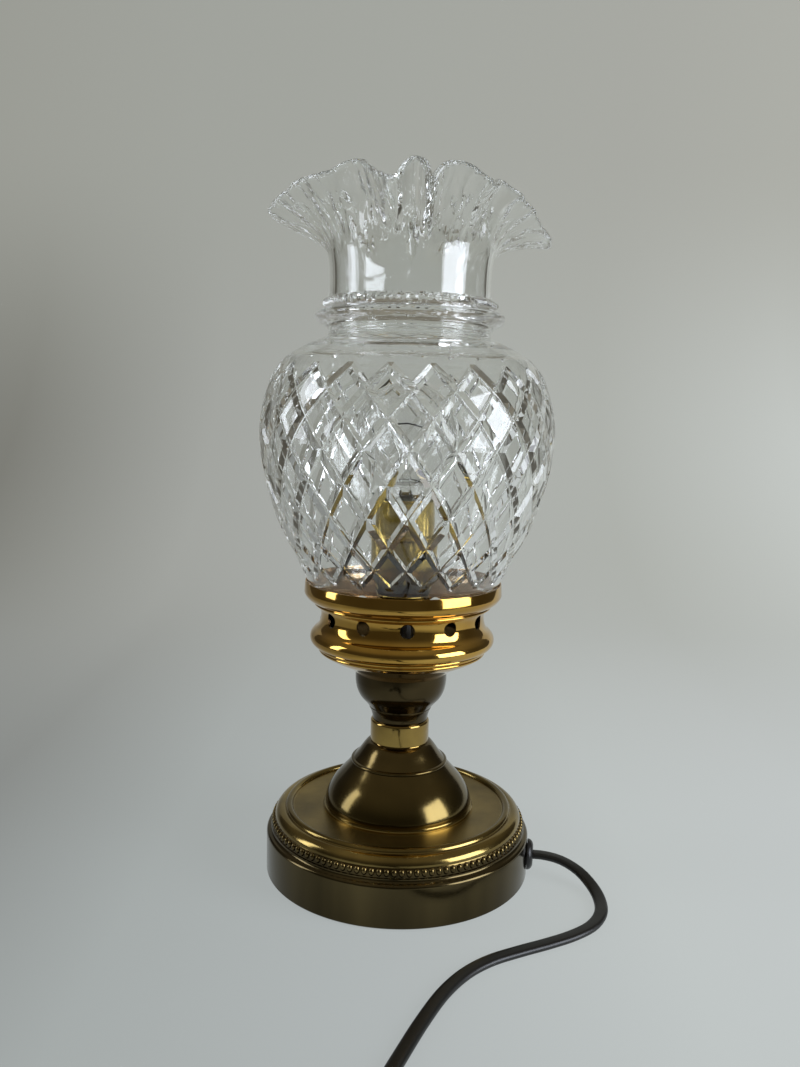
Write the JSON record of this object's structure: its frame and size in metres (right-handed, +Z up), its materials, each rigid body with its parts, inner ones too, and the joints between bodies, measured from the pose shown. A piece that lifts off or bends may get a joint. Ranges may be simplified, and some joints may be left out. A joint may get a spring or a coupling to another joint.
{
  "type": "table lamp",
  "caption": "Small electric table lamp with a turned brass base, a pierced brass gallery and a diamond-cut clear glass shade with a ruffled rim, with its flex, in-line switch and plug.",
  "frame": {"origin": "the middle of the felt's underside, on the table", "axes": "+Z up the stem, -Y to the front of the lamp, +X to the right, where the flex comes out"},
  "size_m": [0.1846, 0.3639, 0.3011],
  "materials": {
    "antique_brass": "lacquered antique brass, semi-polished",
    "polished_brass": "polished",
    "gold_brass": "mirror polished, lacquered",
    "cast_iron": "rough cast",
    "zinc_steel": "zinc plated",
    "felt": "matte felt",
    "card": "matte card",
    "brown_phenolic": "moulded, glossy",
    "black_plastic": "fine satin",
    "flex_black": "smooth satin sheath",
    "nickel": "nickel plated",
    "tungsten": "dull drawn wire",
    "cut_glass": "clear, polished mitre cuts",
    "bulb_glass": "clear"
  },
  "bodies": {
    "lamp": {"felt_pad": "felt", "base_weight": "cast_iron", "base_shell": "antique_brass", "cord_bushing": "black_plastic", "bell_riser": "antique_brass", "neck_ring": "polished_brass", "stem_cup": "antique_brass", "gallery": "gold_brass", "threaded_rod": "zinc_steel", "rod_washer": "zinc_steel", "lock_washer": "zinc_steel", "rod_nut": "polished_brass", "gallery_washer": "polished_brass", "gallery_nut": "polished_brass", "holder_cap": "polished_brass", "holder_grub_screw": "zinc_steel", "holder_shell": "polished_brass", "holder_liner": "card", "holder_insulator": "brown_phenolic", "screw_shell": "polished_brass", "centre_contact": "polished_brass", "terminal_screw_live": "polished_brass", "terminal_screw_neutral": "polished_brass", "inner_flex": "flex_black", "core_live": "flex_black", "core_neutral": "flex_black", "cord_run": "flex_black", "switch_base": "black_plastic", "switch_cover": "black_plastic", "switch_screw_far": "zinc_steel", "switch_screw_near": "zinc_steel", "switch_contact": "polished_brass", "cord_link": "flex_black", "cord_coil": "flex_black", "cord_tail": "flex_black", "plug_body": "black_plastic", "plug_pin_left": "nickel", "plug_pin_right": "nickel"},
    "shade": {"glass_shade": "cut_glass"},
    "bulb": {"bulb_tip": "nickel", "bulb_base_insulator": "black_plastic", "bulb_cap": "nickel", "bulb_glass": "bulb_glass", "bulb_stem": "bulb_glass", "bulb_lead_left": "nickel", "bulb_lead_right": "nickel", "bulb_filament": "tungsten"},
    "rocker": {"switch_rocker": "black_plastic"}
  },
  "joints": [
    {"name": "shade_lift", "type": "slide", "parent": "lamp", "child": "shade", "axis": [0, 0, 1], "range_m": [0, 0.12]},
    {"name": "bulb_unscrew", "type": "slide", "parent": "lamp", "child": "bulb", "axis": [0, 0, 1], "range_m": [0, 0.02]},
    {"name": "switch_press", "type": "hinge", "parent": "lamp", "child": "rocker", "pos_m": [-0.006, -0.194, 0.01], "axis": [-1, 0, 0], "range_deg": [0, 16]}
  ]
}
